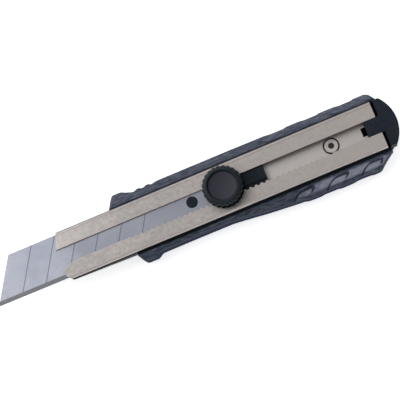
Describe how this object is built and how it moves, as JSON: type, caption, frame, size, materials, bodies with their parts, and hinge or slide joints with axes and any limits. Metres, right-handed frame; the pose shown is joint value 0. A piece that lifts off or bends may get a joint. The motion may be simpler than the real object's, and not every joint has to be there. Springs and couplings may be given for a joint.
{
  "type": "utility knife",
  "caption": "Heavy snap-off blade utility knife: slotted sheet-steel channel, screw-down thumb wheel that clamps the sliding blade carriage, soft side grips, pull-off end cap.",
  "frame": {"origin": "on the flat back of the handle, under the middle of the channel's length and width", "axes": "+X along the knife from the blade's tip to the butt, +Y towards the blade's spine, +Z out of the slotted face, towards the thumb wheel"},
  "size_m": [0.2377, 0.0441, 0.026],
  "materials": {
    "channel_steel": "satin nickel plated sheet",
    "blade_steel": "ground, lightly oiled",
    "zinc_steel": "zinc plated",
    "brass": "turned",
    "black_plastic": "moulded, fine texture",
    "wheel_plastic": "moulded, satin",
    "dish_plastic": "moulded, satin",
    "cap_plastic": "moulded, fine texture",
    "grip_rubber": "soft touch, satin"
  },
  "bodies": {
    "handle": {"channel": "channel_steel", "handle_core": "black_plastic", "channel_screws": "channel_steel", "screw_inserts": "brass", "upper_grip": "grip_rubber", "lower_grip": "grip_rubber"},
    "carriage": {"slider": "black_plastic", "blade": "blade_steel", "click_spring": "zinc_steel", "clamp_stud": "zinc_steel", "retaining_ring": "zinc_steel"},
    "washer": {"clamp_washer": "zinc_steel"},
    "wheel": {"thumb_wheel": "wheel_plastic", "wheel_insert": "brass", "wheel_cap": "dish_plastic"},
    "cap": {"end_cap": "cap_plastic"}
  },
  "joints": [
    {"name": "blade_slide", "type": "slide", "parent": "handle", "child": "carriage", "axis": [1, 0, 0], "range_m": [-0.06, 0.055]},
    {"name": "wheel_lift", "type": "slide", "parent": "carriage", "child": "washer", "axis": [0, 0, 1], "range_m": [0, 0.00126]},
    {"name": "wheel_turn", "type": "hinge", "parent": "washer", "child": "wheel", "pos_m": [0.0047, 0, 0.02], "axis": [0, 0, 1], "range_deg": [0, 450]},
    {"name": "cap_pull", "type": "slide", "parent": "handle", "child": "cap", "axis": [1, 0, 0], "range_m": [0, 0.03]}
  ],
  "couplings": [
    {"joint": "wheel_lift", "follows": "wheel_turn", "m_per_rad": 0.00015915}
  ]
}
